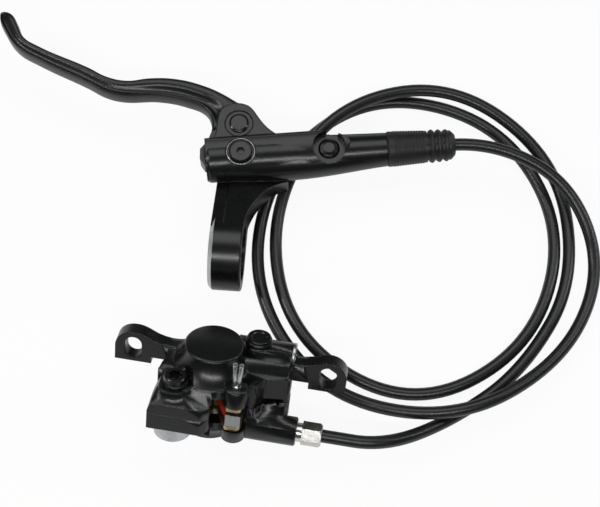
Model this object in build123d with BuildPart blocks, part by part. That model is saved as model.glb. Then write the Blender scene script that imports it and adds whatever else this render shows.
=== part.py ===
from build123d import *
import math
import os

# Hydraulic disc brake of a bicycle: handlebar lever, hose and caliper, laid out flat.
# Millimetres, +Z up, the bench at z = 0, the origin at the middle of the brake's footprint.

# The layout on the bench: the middle of the footprint, the lever's clamp and the caliper.
middle_x = -31.6
middle_y = 8.45
clamp_x = -27.7
clamp_y = -4.9
caliper_x = -33.3
caliper_y = -59.4
caliper_lift = 21.55
caliper_lean = 35.0
caliper_swing = 9.5

# Handlebar clamp: a split ring round the bar, whose axis runs along X.
bar_bore = 22.2
ring_wall = 3.9
ring_width = 12.8
ring_x = -1.1
ring_y = -0.2
bar_turn = -4.0
ring_bevel = 1.5
ring_edge = 0.5
web_end = 29.4
web_end_height = 18.0
web_bottom = 8.2
web_step = 0.8
web_step_width = 4.6
slit = 1.2
lug_reach = 24.7
clamp_bolt_y = 19.2
clamp_bolt_thread = 5.0
clamp_head = 9.0
clamp_head_height = 2.6
clamp_bolt_end = 17.0
lug_foot = 0.4

# Master cylinder: its barrel turns a little from the bar, its bore lies a little below the middle.
barrel_turn = 4.4
barrel_y = 37.8
barrel_z = 19.0
barrel_left = -9.9
barrel_end = 62.7
barrel_r = 8.5
barrel_neck_r = 6.7
mouth_bore = 13.4
mouth_end = -1.0
bore = 9.6
bore_drop = 1.6
bore_end = 31.0
fit = 0.05
housing_top = 8.2

# Piston set in the master cylinder.
piston_start = 2.2
piston_length = 16.5
seal_width = 1.8
seal_depth = 0.9
spring_pocket = 6.0
spring_pocket_r = 2.95
spring_wire = 0.7
spring_turns = 6
rod_r = 2.0
snap_ring_at = 0.8
snap_ring_thick = 1.0

# Lever: its pivot, its height between the ears, its ball bearing on the push rod.
pivot_x = 3.3
pivot_y = 50.8
pivot_pin = 5.0
pivot_bush = 7.0
pin_head = 7.8
ear_recess = 11.4
lever_low = 15.2
lever_high = 22.8
ear_gap = 0.2
ear_thick = 3.2
swing = 14.0
push_face_x = -7.0
push_gap = 0.25
swing_room = 0.6

# Screws on the cylinder and its hose joint.
bleed_at = 4.2
bleed_head = 9.2
bleed_thread = 5.0
plug_at = 39.4
plug_dome = 8.6
plug_pocket = 13.0
flare_nut_flats = 8.0
flare_nut_thread = 8.0
flare_nut_hex_end = 72.0
nut_seat = 53.0
passage = 2.4
boot_end = 90.2
boot_start_r = 7.15
boot_end_r = 5.9
hose_d = 5.0


def on_bench(x, y, z=0.0):
    """A point of the layout, measured from the middle of the footprint."""
    return Vector(x - middle_x, y - middle_y, z)


# The lever's own frame lies on the bench under the middle of the handlebar clamp.
lever_floor = Plane(origin=on_bench(clamp_x, clamp_y))
turn = math.radians(barrel_turn)
along = Vector(math.cos(turn), math.sin(turn), 0)
across = Vector(-math.sin(turn), math.cos(turn), 0)
barrel_middle = lever_floor.from_local_coords(Vector(0, barrel_y, barrel_z))
bore_middle = barrel_middle - Vector(0, 0, bore_drop)
barrel_plane = Plane(origin=barrel_middle, x_dir=across, z_dir=along)
bore_plane = Plane(origin=bore_middle, x_dir=across, z_dir=along)
barrel_flat = Plane(origin=barrel_middle, x_dir=along, z_dir=(0, 0, 1))
pivot_floor = Plane(origin=lever_floor.from_local_coords(Vector(pivot_x, pivot_y, 0)))


def rod(plane, radius, start, length, mode=Mode.ADD):
    """A round bar along a plane's normal, from start on."""
    with BuildSketch(plane.offset(start)) as section:
        Circle(radius)
    extrude(section.sketch, amount=length, mode=mode)


def turned(plane, corners, mode=Mode.ADD):
    """A body turned about a plane's normal, from its half section in (along, radius) corners."""
    upright = Plane(origin=plane.origin, x_dir=plane.z_dir, z_dir=plane.z_dir.cross(plane.y_dir))
    with BuildSketch(upright) as section:
        with BuildLine():
            Polyline(*corners, close=True)
        make_face()
    revolve(section.sketch, axis=Axis(plane.origin, plane.z_dir), mode=mode)


def slab(plane, corners, start, thick, mode=Mode.ADD, rounding=0.0):
    """A flat piece with a straight-sided outline, its corners rounded on request."""
    with BuildSketch(plane.offset(start)) as section:
        with BuildLine():
            Polyline(*corners, close=True)
        make_face()
        if rounding > 0:
            fillet(section.vertices(), rounding)
    extrude(section.sketch, amount=thick, mode=mode)


def hexagon(plane, flats, start, length, mode=Mode.ADD):
    """A hexagonal bar, given by its width across the flats."""
    with BuildSketch(plane.offset(start)) as section:
        RegularPolygon(flats / 2, 6, major_radius=False)
    extrude(section.sketch, amount=length, mode=mode)


def save(piece, name):
    """Labels a finished piece and writes it as parts/name.step."""
    piece.part.label = name
    export_step(piece.part, "parts/" + name + ".step")
    finished[name] = piece.part


os.makedirs("parts", exist_ok=True)
finished = {}

# The lever's outline, from the curled tip along both edges to the pivot and the push arm.
far_edge = [(-96.0, 105.4), (-92.2, 103.4), (-89.6, 98.8), (-86.4, 92.3), (-79.9, 88.0),
            (-58.8, 78.2), (-50.8, 73.9), (-42.5, 72.2), (-33.1, 73.5), (-23.4, 73.2),
            (-12.9, 70.6), (-2.3, 65.6), (5.2, 60.4)]
near_edge = [(-98.0, 104.4), (-97.5, 101.0), (-95.4, 96.4), (-89.2, 87.3), (-80.2, 81.6),
             (-59.0, 70.8), (-52.2, 66.9), (-45.0, 64.9), (-29.7, 64.8), (-18.2, 62.3),
             (-10.8, 58.7), (-8.3, 54.1)]
arm = [(-8.3, 54.1), (-7.8, 49.0), (-9.4, 44.6), (-12.3, 41.2), (-12.3, 37.0), (-10.4, 34.2),
       (push_face_x, 34.2), (push_face_x, 40.4), (-3.6, 43.4), (0.8, 45.6), (7.4, 47.6), (9.0, 53.4),
       (5.2, 60.4)]
hub_r = 6.0
root_hollow = [(-34.0, 70.6), (-23.4, 70.3), (-13.5, 67.7), (-6.5, 63.8), (-9.8, 61.2), (-17.6, 64.2),
               (-29.5, 66.7), (-34.0, 66.7)]
root_hollow_depth = 0.9


def swung(points, degrees):
    """Points of the lever's frame, turned about the pivot."""
    c = math.cos(math.radians(degrees))
    s = math.sin(math.radians(degrees))
    out = []
    for x, y in points:
        dx = x - pivot_x
        dy = y - pivot_y
        out.append((pivot_x + c * dx - s * dy, pivot_y + s * dx + c * dy))
    return out


# The body of the lever: clamp ring, web, cylinder barrel with its housing, and pivot ears.
ring_r = bar_bore / 2 + ring_wall
bar_dir = Vector(math.cos(math.radians(bar_turn)), math.sin(math.radians(bar_turn)), 0)
clamp_floor = Plane(origin=lever_floor.from_local_coords(Vector(ring_x, ring_y, 0)), x_dir=bar_dir,
                    z_dir=(0, 0, 1))
bar_plane = Plane(origin=clamp_floor.origin + Vector(0, 0, ring_r), x_dir=clamp_floor.y_dir, z_dir=bar_dir)

# The web's top is a plane that touches the ring and falls away to the barrel.
web_fall = (math.asin(ring_r / math.hypot(web_end, web_end_height - ring_r))
            - math.atan2(web_end_height - ring_r, web_end))
web_start = ring_r * math.sin(web_fall)
web_plane = Plane(origin=clamp_floor.from_local_coords(Vector(0, web_start, ring_r * (1 + math.cos(web_fall)))),
                  x_dir=bar_dir, z_dir=bar_plane.x_dir * math.sin(web_fall)
                  + Vector(0, 0, math.cos(web_fall)))
pocket_low = lever_low - ear_gap
pocket_high = lever_high + ear_gap
ear_curve = [(-6.7, 45.0), (-5.6, 51.6), (-4.3, 56.8), (-1.6, 59.2), (3.0, 60.0), (7.0, 58.8), (11.2, 53.6),
             (16.3, 47.8), (25.0, 45.4)]
housing_curve = [(14.0, -9.2), (26.0, -7.4), (33.0, -6.0), (38.0, -4.4), (43.0, -2.3), (46.4, -1.2),
                 (48.0, 1.0), (46.0, 3.6), (38.0, 6.6), (28.0, 9.2)]
flare_curve = [(7.6, 15.5), (9.8, 20.5), (13.6, 25.8), (22.0, 31.0)]


def ear(start, thick):
    """One ear beside the lever: its curved plate, with the rim of its far side rounded."""
    with BuildSketch(lever_floor.offset(start)) as section:
        with BuildLine():
            Spline(*ear_curve)
            Polyline(ear_curve[-1], (25.0, 40.0), (-7.6, 38.0), (-7.6, 44.0), ear_curve[0])
        make_face()
    blank = extrude(section.sketch, amount=thick, mode=Mode.PRIVATE).solid()
    rim = blank.faces().sort_by(Axis.Z)[-1 if thick > 0 else 0]
    add(blank.fillet(0.6, rim.edges().filter_by(GeomType.BSPLINE)))


# The housing over the barrel: a flat back, a round front, and an end that sweeps round the plug.
with BuildPart() as housing_form:
    with BuildSketch(barrel_plane.offset(barrel_left)) as housing_section:
        with BuildLine():
            Polyline((-8.4, 0.8), (8.4, 0.0), (7.2, housing_top - 1.0))
            ThreePointArc((7.2, housing_top - 1.0), (6.8, housing_top - 0.5), (6.0, housing_top - 0.3))
            ThreePointArc((6.0, housing_top - 0.3), (1.8, housing_top), (-2.2, housing_top - 0.7))
            ThreePointArc((-2.2, housing_top - 0.7), (-6.4, 5.0), (-8.4, 0.8))
        make_face()
    extrude(amount=60.0)
    with BuildSketch(barrel_flat) as beyond_housing:
        with BuildLine():
            Spline(*housing_curve)
            Polyline(housing_curve[-1], (28.0, 20.0), (60.0, 20.0), (60.0, -20.0), (14.0, -20.0),
                     housing_curve[0])
        make_face()
    extrude(amount=20.0, mode=Mode.SUBTRACT)

# The web between ring and barrel: its left zone lies a step lower, its right side flares out.
with BuildPart() as web_form:
    with BuildSketch(clamp_floor.offset(web_bottom)) as web_outline:
        with BuildLine():
            Spline((ring_width / 2, web_start), *flare_curve)
            Polyline(flare_curve[-1], (16.0, 36.0), (-ring_width / 2, 36.0), (-ring_width / 2, web_start),
                     (ring_width / 2, web_start))
        make_face()
    extrude(amount=2 * ring_r)
    with BuildSketch(web_plane) as above_web:
        Rectangle(100.0, 100.0)
    extrude(amount=30.0, mode=Mode.SUBTRACT)
    with BuildSketch(Plane(origin=web_plane.origin, x_dir=bar_dir, z_dir=-web_plane.y_dir)) as step:
        with BuildLine():
            Polyline((-ring_width / 2 - 1, 1.0), (-ring_width / 2 + web_step_width + 0.8, 1.0),
                     (-ring_width / 2 + web_step_width, -web_step), (-ring_width / 2 - 1, -web_step),
                     close=True)
        make_face()
    extrude(amount=40.0, both=True, mode=Mode.SUBTRACT)

with BuildPart() as master_body:
    add(housing_form.part)
    turned(barrel_plane, [(barrel_left, 0), (barrel_left, barrel_r - 0.7), (barrel_left + 1.4, barrel_r),
                          (18.0, barrel_r), (38.0, 7.5), (barrel_end, barrel_neck_r), (barrel_end, 0)])
    for u, sink, r in ((barrel_left + 1.4, 0.0, 8.4), (10.0, 1.0, 8.3), (27.5, 1.5, 8.0), (47.0, 1.2, 6.9),
                       (barrel_end, 0.2, barrel_neck_r - 0.1)):
        with BuildSketch(barrel_plane.offset(u)):
            with Locations((-sink, -0.6 * sink)):
                Circle(r)
    loft()
    add(web_form.part)
    turned(bar_plane, [(-ring_width / 2, 0), (-ring_width / 2, ring_r - ring_bevel),
                       (-ring_width / 2 + ring_bevel, ring_r), (ring_width / 2 - ring_edge, ring_r),
                       (ring_width / 2, ring_r - ring_edge), (ring_width / 2, 0)])
    slab(clamp_floor, [(-ring_width / 2, 4.0), (ring_width / 2, 4.0), (ring_width / 2, lug_reach),
                       (-ring_width / 2, lug_reach)], lug_foot, web_bottom - slit - lug_foot)
    ear(pocket_high, ear_thick)
    ear(pocket_low, -ear_thick)
    rod(bar_plane, bar_bore / 2, -ring_width, 2 * ring_width, mode=Mode.SUBTRACT)
    slab(clamp_floor, [(-ring_width, 4.0), (ring_width, 4.0), (ring_width, lug_reach + 2),
                       (-ring_width, lug_reach + 2)], web_bottom - slit, slit, mode=Mode.SUBTRACT)
    bolt_floor = Plane(origin=clamp_floor.from_local_coords(Vector(0, clamp_bolt_y, 0)))
    rod(bolt_floor, clamp_bolt_thread / 2 + fit, 0, clamp_bolt_end + 0.4, mode=Mode.SUBTRACT)
    rod(bolt_floor, clamp_head / 2 + 0.3, 0, clamp_head_height + lug_foot + 0.2, mode=Mode.SUBTRACT)
    rod(barrel_plane, mouth_bore / 2, barrel_left - 1, mouth_end - barrel_left + 1, mode=Mode.SUBTRACT)
    rod(bore_plane, bore / 2, barrel_left, bore_end - barrel_left, mode=Mode.SUBTRACT)
    rod(bore_plane, bore / 2 + 0.6, snap_ring_at, snap_ring_thick, mode=Mode.SUBTRACT)
    rod(bore_plane, passage / 2, bore_end - 1, nut_seat - bore_end + 1, mode=Mode.SUBTRACT)
    rod(barrel_plane, flare_nut_thread / 2 + fit, nut_seat, barrel_end, mode=Mode.SUBTRACT)
    for angle in (0, swing / 4, swing / 2, swing * 3 / 4, swing):
        with BuildSketch(lever_floor.offset(pocket_low)) as pocket:
            with BuildLine():
                Polyline(*swung(arm + [(-2.3, 66.0)], angle), close=True)
            make_face()
            offset(amount=swing_room)
        extrude(pocket.sketch, amount=pocket_high - pocket_low, mode=Mode.SUBTRACT)
    rod(pivot_floor, hub_r + swing_room, pocket_low, pocket_high - pocket_low, mode=Mode.SUBTRACT)
    rod(pivot_floor, pivot_pin / 2 + fit, 0, pocket_high + ear_thick + 1, mode=Mode.SUBTRACT)
    rod(pivot_floor, ear_recess / 2, pocket_high + ear_thick - 1.0, 2.0, mode=Mode.SUBTRACT)
    bleed_floor = Plane(origin=barrel_middle + along * bleed_at)
    plug_floor = Plane(origin=barrel_middle + along * plug_at)
    rod(bleed_floor, 6.0, housing_top - 1.4, 3.0, mode=Mode.SUBTRACT)
    rod(bleed_floor, bleed_thread / 2 + fit, 3.0, 6.0, mode=Mode.SUBTRACT)
    rod(plug_floor, plug_pocket / 2, 4.6, 6.0, mode=Mode.SUBTRACT)
    rod(plug_floor, bleed_thread / 2 + fit, 1.0, 6.0, mode=Mode.SUBTRACT)
save(master_body, "master_body")

with BuildPart() as lever_blade:
    with BuildSketch(lever_floor.offset(lever_low)) as outline:
        with BuildLine():
            Spline(*far_edge)
            Polyline(*reversed(arm))
            Spline(*reversed(near_edge))
            ThreePointArc(near_edge[0], (-97.4, 105.8), far_edge[0])
        make_face()
    blade = extrude(outline.sketch, amount=lever_high - lever_low, mode=Mode.PRIVATE).solid()
    blade = blade.fillet(1.8, blade.edges().filter_by(GeomType.BSPLINE).sort_by(Axis.Y)[-2:])
    add(blade.fillet(0.7, blade.edges().filter_by(GeomType.BSPLINE).sort_by(Axis.Y)[:2]))
    slab(lever_floor, root_hollow, lever_high - root_hollow_depth, 2.0, mode=Mode.SUBTRACT, rounding=1.2)
    rod(pivot_floor, hub_r, lever_low, lever_high - lever_low)
    rod(pivot_floor, pivot_bush / 2, lever_low - 1, lever_high - lever_low + 2, mode=Mode.SUBTRACT)
save(lever_blade, "lever_blade")

with BuildPart() as pivot_bushes:
    for low in (lever_low, lever_high - 3.0):
        rod(pivot_floor, pivot_bush / 2 - 0.02, low, 3.0)
    rod(pivot_floor, pivot_pin / 2 + fit, lever_low, lever_high - lever_low, mode=Mode.SUBTRACT)
save(pivot_bushes, "pivot_bushes")

with BuildPart() as pivot_pin_part:
    rod(pivot_floor, pivot_pin / 2, pocket_low - ear_thick, pocket_high - pocket_low + 2 * ear_thick)
    turned(pivot_floor, [(pocket_high + ear_thick - 0.2, 0), (pocket_high + ear_thick - 0.2, pin_head / 2),
                         (pocket_high + ear_thick + 0.5, pin_head / 2),
                         (pocket_high + ear_thick + 0.9, pin_head / 2 - 0.8),
                         (pocket_high + ear_thick + 0.9, 0)])
save(pivot_pin_part, "pivot_pin")

with BuildPart() as pivot_clip:
    rod(pivot_floor, ear_recess / 2 - 0.3, pocket_high + ear_thick - 1.0, 0.8)
    rod(pivot_floor, pivot_pin / 2 + fit, pocket_high, ear_thick + 1, mode=Mode.SUBTRACT)
save(pivot_clip, "pivot_clip")

# Push rod, piston with its two seals, return spring and retaining ring, all in the bore.
rod_tip = push_face_x / math.cos(turn) + push_gap
with BuildPart() as push_rod:
    rod(bore_plane, rod_r, rod_tip + rod_r, piston_start + 2.0 - rod_tip - rod_r)
    with Locations(Location(bore_middle + along * (rod_tip + rod_r))):
        Sphere(rod_r)
save(push_rod, "push_rod")

piston_r = bore / 2 - fit
piston_end = piston_start + piston_length
rear_seal_at = piston_start + 3.4
front_seal_at = piston_end - 3.2
with BuildPart() as master_piston:
    rod(bore_plane, piston_r, piston_start, piston_length)
    rod(bore_plane, rod_r + fit, piston_start, 2.0, mode=Mode.SUBTRACT)
    rod(bore_plane, spring_pocket_r, piston_end - spring_pocket, spring_pocket, mode=Mode.SUBTRACT)
    for seat in (rear_seal_at, front_seal_at):
        with BuildSketch(bore_plane.offset(seat)) as groove:
            Circle(piston_r + 1)
            Circle(piston_r - seal_depth, mode=Mode.SUBTRACT)
        extrude(groove.sketch, amount=seal_width, mode=Mode.SUBTRACT)
save(master_piston, "master_piston")

for name, seat in (("secondary_seal", rear_seal_at), ("primary_seal", front_seal_at)):
    with BuildPart() as seal:
        rod(bore_plane, bore / 2 - 0.02, seat + 0.02, seal_width - 0.04)
        rod(bore_plane, piston_r - seal_depth + 0.02, seat, seal_width, mode=Mode.SUBTRACT)
    save(seal, name)

with BuildPart() as snap_ring:
    rod(bore_plane, bore / 2 + 0.55, snap_ring_at + 0.02, snap_ring_thick - 0.04)
    rod(bore_plane, rod_r + 1.2, snap_ring_at, snap_ring_thick, mode=Mode.SUBTRACT)
    with Locations(Location(bore_middle - Vector(0, 0, bore / 2))):
        Box(8, 2.4, 4, mode=Mode.SUBTRACT)
save(snap_ring, "snap_ring")

stroke = 3.2
spring_start = piston_end - spring_pocket + stroke
spring_length = bore_end - spring_start
spring_r = spring_pocket_r - 0.1 - spring_wire / 2
with BuildPart() as return_spring:
    with BuildLine() as coil:
        Helix(pitch=(spring_length - spring_wire) / spring_turns,
              height=spring_length - spring_wire, radius=spring_r, direction=along,
              center=bore_middle + along * (spring_start + spring_wire / 2))
    with BuildSketch(Plane(origin=coil.line @ 0, z_dir=coil.line % 0)) as wire:
        Circle(spring_wire / 2)
    sweep(wire.sketch, path=coil.line)
save(return_spring, "return_spring")

with BuildPart() as bleed_screw:
    rod(bleed_floor, bleed_head / 2, housing_top - 1.4, 1.9)
    rod(bleed_floor, bleed_thread / 2, 4.0, housing_top - 4.6)
    hexagon(bleed_floor, 3.0, housing_top - 1.0, 2.0, mode=Mode.SUBTRACT)
    chamfer(bleed_screw.faces().sort_by(Axis.Z)[-1].outer_wire().edges(), 0.5)
save(bleed_screw, "bleed_screw")

with BuildPart() as reservoir_plug:
    turned(plug_floor, [(4.6, 0), (4.6, plug_dome / 2), (4.9, plug_dome / 2), (5.6, plug_dome / 2 - 0.8),
                        (6.0, plug_dome / 2 - 2.2), (6.1, 0)])
    rod(plug_floor, bleed_thread / 2, 1.2, 3.6)
save(reservoir_plug, "reservoir_plug")

with BuildPart() as clamp_bolt:
    rod(bolt_floor, clamp_head / 2, lug_foot + 0.2, clamp_head_height)
    rod(bolt_floor, clamp_bolt_thread / 2, lug_foot + 0.2, clamp_bolt_end - lug_foot - 0.2)
    hexagon(bolt_floor, 4.0, lug_foot, 2.0, mode=Mode.SUBTRACT)
save(clamp_bolt, "clamp_bolt")

# Caliper: two halves bolted together over the disc. Its own frame has X along the two ears,
# Y towards the wheel's axle and Z out along the axle, with the pistons on its Z axis.
ear_left = -31.1
ear_right = 43.1
ear_width = 14.0
ear_slot = 6.4
ear_slot_length = 10.0
ear_slot_n = 8.0
ear_base = 1.7
mount_face = 8.6
mount_thick = 5.6
piston_d = 22.0
caliper_fit = 0.05
disc_r = 80.0
disc_slot = 1.7
axle_q = 71.0
plate_inner = 3.6
plate_thick = 1.8
lining_inner = 1.5
spacer_half = 1.0
cavity_n = 6.6
cavity_left = -14.0
cavity_right = 14.6
cylinder_end = 15.6
dome_top = 19.0
dome_r = 10.8
flank_r = 16.6
flank_top = 9.6
half_depth = 11.0
bolt_x = -11.4
bolt_q = -14.5
body_bolt = 6.0
body_bolt_head = 9.8
bolt_seat = 9.8
bolt_boss_r = 6.3
bolt_head_height = 3.8
second_bolt_x = 24.0
second_bolt_q = 1.0
pin_x = 11.4
pin_q = -15.6
pin_r = 1.0
pin_boss = 9.0
pin_boss_top = 13.6
port_q = -7.5
port_n = -11.0
port_end = 34.5
port_r = 5.5
caliper_nut_hex = 36.6
caliper_nut_end = 44.1
bleed_x = 15.6
bleed_q = 8.0
bleed_top = 18.0
window_n = 5.8
side_boss_q = 8.2
side_boss_n = 12.2
side_boss_end = 29.0
side_boss_r = 4.8
window_left = 3.0
nose_front = -26.0

lean = math.radians(caliper_lean)
swing_z = math.radians(-caliper_swing)
ears_dir = Vector(math.cos(swing_z), math.sin(swing_z), 0)
out_dir = Vector(-math.sin(lean) * math.sin(swing_z), math.sin(lean) * math.cos(swing_z), math.cos(lean))
caliper = Plane(origin=on_bench(caliper_x, caliper_y, caliper_lift), x_dir=ears_dir, z_dir=out_dir)


def at_caliper(x, q, n):
    """A point of the caliper's own frame."""
    return caliper.from_local_coords(Vector(x, q, n))


def post(x, q):
    """A plane square to the caliper's Z axis, for what stands on it at x and q."""
    return Plane(origin=at_caliper(x, q, 0), x_dir=ears_dir, z_dir=out_dir)


def side_bar(q, n):
    """A plane square to the caliper's X axis, for what runs along it at q and n."""
    return Plane(origin=at_caliper(0, q, n), x_dir=caliper.y_dir, z_dir=ears_dir)


mount_plane = Plane(origin=at_caliper(0, mount_face, 0), x_dir=ears_dir, z_dir=-caliper.y_dir)
body_outline = [(-21.4, -15.5), (-20.4, -22.0), (-17.5, nose_front), (-6.0, nose_front), (window_left, -21.0),
                (window_left, -9.0), (cavity_right, -9.0), (cavity_right, -11.5), (18.0, -11.5), (20.5, -6.4),
                (30.0, -5.0), (30.0, 3.0), (24.0, mount_face), (-14.0, mount_face), (-16.6, 2.0),
                (-18.6, -8.0)]


def shave(x, q, n, width, slope, side):
    """Cuts away what lies beyond a plane through (q, n) that falls towards the nose, x wide."""
    fall = math.radians(slope)
    beyond = out_dir * (side * math.cos(fall)) - caliper.y_dir * math.sin(fall)
    with BuildSketch(Plane(origin=at_caliper(x, q, n), x_dir=ears_dir, z_dir=beyond)) as section:
        Rectangle(width, 60.0)
    extrude(section.sketch, amount=20.0, mode=Mode.SUBTRACT)


def half_body(side):
    """The form that both halves share: side is 1 outboard and -1 inboard."""
    slab(caliper, body_outline, 0, side * half_depth, rounding=1.2)
    if side > 0:
        shave(-10.0, -6.0, half_depth, 26.4, 13.0, side)
        shave(-10.0, -16.5, 8.4, 26.4, 28.0, side)
        shave(-10.0, nose_front, 3.4, 26.4, 82.0, side)
    else:
        shave(-10.0, -22.0, -half_depth, 26.4, 34.0, side)
    with BuildSketch(Plane(origin=caliper.origin, x_dir=out_dir, z_dir=out_dir.cross(caliper.y_dir))) as half:
        with BuildLine():
            Polyline((0, flank_r), (0, 0), (side * dome_top, 0), (side * dome_top, dome_r - 0.5))
            ThreePointArc((side * dome_top, dome_r - 0.5), (side * (dome_top - 0.3), dome_r),
                          (side * (dome_top - 1.0), dome_r + 0.3))
            ThreePointArc((side * (dome_top - 1.0), dome_r + 0.3), (side * (dome_top - 5.4), dome_r + 1.9),
                          (side * flank_top, flank_r))
            Line((side * flank_top, flank_r), (0, flank_r))
        make_face()
    revolve(half.sketch, axis=Axis(caliper.origin, out_dir))


def half_hollows(side):
    """The disc slot, the pads' space, the cylinder with its seal groove and the through holes."""
    rod(post(0, axle_q), disc_r + 1.0, 0, side * disc_slot, mode=Mode.SUBTRACT)
    slab(caliper, [(cavity_left, -10.0), (cavity_right, -10.0), (cavity_right, 20.0),
                   (cavity_left, 20.0)], 0, side * cavity_n, mode=Mode.SUBTRACT)
    slab(caliper, [(window_left, -30.0), (cavity_right, -30.0), (cavity_right, -9.0), (window_left, -9.0)],
         0, side * window_n, mode=Mode.SUBTRACT)
    rod(caliper, piston_d / 2 + caliper_fit, 0, side * cylinder_end, mode=Mode.SUBTRACT)
    rod(caliper, piston_d / 2 + 1.2, side * 9.0, side * 2.0, mode=Mode.SUBTRACT)
    rod(post(pin_x, pin_q), pin_r + 0.1, 0, side * dome_top, mode=Mode.SUBTRACT)


ear_top = ear_slot_n + 0.2 + ear_width / 2
arm_low = 4.6
left_arm = [(ear_left, ear_top), (-27.0, ear_top - 0.7), (-22.6, 12.4), (-17.6, 11.2), (-12.0, 11.8)]
right_arm = [(24.0, 13.0), (30.0, 12.0), (36.5, 13.2), (ear_right, ear_top)]
with BuildPart() as caliper_outer_half:
    half_body(1)
    rod(post(bolt_x, bolt_q), bolt_boss_r, 0, bolt_seat)
    turned(post(pin_x, pin_q), [(window_n, 0), (window_n, pin_boss / 2), (pin_boss_top - 0.7, pin_boss / 2),
                                (pin_boss_top, pin_boss / 2 - 0.7), (pin_boss_top, 0)])
    slab(caliper, [(7.2, -15.0), (15.5, -15.0), (15.5, -8.0), (5.0, -8.0)], window_n, 5.6)
    turned(side_bar(side_boss_q, side_boss_n),
           [(8.0, 0), (8.0, side_boss_r), (side_boss_end - 0.5, side_boss_r),
            (side_boss_end, side_boss_r - 0.5), (side_boss_end, 0)])
    turned(side_bar(2.5, 9.6), [(12.0, 0), (12.0, 6.4), (28.0, 6.4), (29.2, 5.2), (29.2, 0)])
    turned(post(bleed_x, bleed_q), [(6.0, 0), (6.0, 7.0), (12.0, 6.2), (15.0, 5.3), (bleed_top - 0.4, 5.0),
                                    (bleed_top, 4.7), (bleed_top, 0)])
    with BuildSketch(mount_plane) as ears:
        for ear_x in (ear_left, ear_right):
            with Locations((ear_x, ear_slot_n + 0.2)):
                Circle(ear_width / 2)
            with Locations((ear_x, (ear_slot_n + 0.2 + ear_base) / 2)):
                Rectangle(ear_width, ear_slot_n + 0.2 - ear_base)
        with BuildLine():
            Spline(*left_arm)
            Polyline(left_arm[-1], right_arm[0])
            Spline(*right_arm)
            Polyline(right_arm[-1], (ear_right, arm_low), (26.0, arm_low), (22.0, 0), (-14.0, 0),
                     (-18.0, arm_low), (ear_left, arm_low), left_arm[0])
        make_face()
    extrude(ears.sketch, amount=mount_thick)
    half_hollows(1)
    with BuildSketch(mount_plane.offset(-1)) as slots:
        for ear_x in (ear_left, ear_right):
            with Locations((ear_x, ear_slot_n)):
                SlotOverall(ear_slot_length, ear_slot, rotation=90)
    extrude(slots.sketch, amount=mount_thick + 2, mode=Mode.SUBTRACT)
    rod(post(bolt_x, bolt_q), body_bolt / 2 + 0.1, 0, bolt_seat, mode=Mode.SUBTRACT)
    rod(post(bolt_x, bolt_q), bolt_boss_r + 0.2, bolt_seat, 8.0, mode=Mode.SUBTRACT)
    rod(post(second_bolt_x, second_bolt_q), body_bolt / 2 + 0.1, 0, 8.0, mode=Mode.SUBTRACT)
    rod(post(bleed_x, bleed_q), 2.5, 8.0, bleed_top - 8.0, mode=Mode.SUBTRACT)
    rod(side_bar(side_boss_q, side_boss_n), 3.0, side_boss_end - 5.0, 6.0, mode=Mode.SUBTRACT)
save(caliper_outer_half, "caliper_outer_half")

with BuildPart() as caliper_inner_half:
    half_body(-1)
    rod(post(bolt_x, bolt_q), 7.0, 0, -13.6)
    turned(post(pin_x, pin_q), [(-window_n, 0), (-window_n, pin_boss / 2), (0.7 - half_depth, pin_boss / 2),
                                (-half_depth, pin_boss / 2 - 0.7), (-half_depth, 0)])
    slab(caliper, [(7.2, -15.0), (15.5, -15.0), (15.5, -8.0), (5.0, -8.0)], -window_n, -4.6)
    slab(caliper, [(cavity_right, -11.5), (20.0, -11.5), (29.0, -5.0), (20.0, -2.0), (cavity_right, -2.0)],
         -4.0, -7.0)
    turned(side_bar(port_q, port_n), [(12.0, 0), (12.0, port_r), (port_end - 0.5, port_r),
                                      (port_end, port_r - 0.5), (port_end, 0)])
    half_hollows(-1)
    rod(post(bolt_x, bolt_q), body_bolt / 2 + 0.1, 0, -12.0, mode=Mode.SUBTRACT)
    rod(post(second_bolt_x, second_bolt_q), body_bolt / 2 + 0.1, 0, -9.0, mode=Mode.SUBTRACT)
    rod(side_bar(port_q, port_n), flare_nut_thread / 2 + fit, port_end - 8.0, 9.0, mode=Mode.SUBTRACT)
save(caliper_inner_half, "caliper_inner_half")

with BuildPart() as body_bolts:
    rod(post(bolt_x, bolt_q), body_bolt / 2, -11.8, bolt_seat + 11.8)
    turned(post(bolt_x, bolt_q), [(bolt_seat, 0), (bolt_seat, body_bolt_head / 2),
                                  (bolt_seat + 1.0, body_bolt_head / 2), (bolt_seat + 1.2, 4.3),
                                  (bolt_seat + bolt_head_height - 0.4, 4.2),
                                  (bolt_seat + bolt_head_height, 3.8), (bolt_seat + bolt_head_height, 0)])
    with BuildSketch(post(bolt_x, bolt_q).offset(bolt_seat + 1.6)) as star:
        Circle(2.0)
        with PolarLocations(2.1, 6):
            Circle(0.75)
    extrude(star.sketch, amount=4.0, mode=Mode.SUBTRACT)
    rod(post(second_bolt_x, second_bolt_q), body_bolt / 2, -8.8, 16.6)
save(body_bolts, "body_bolts")

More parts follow.
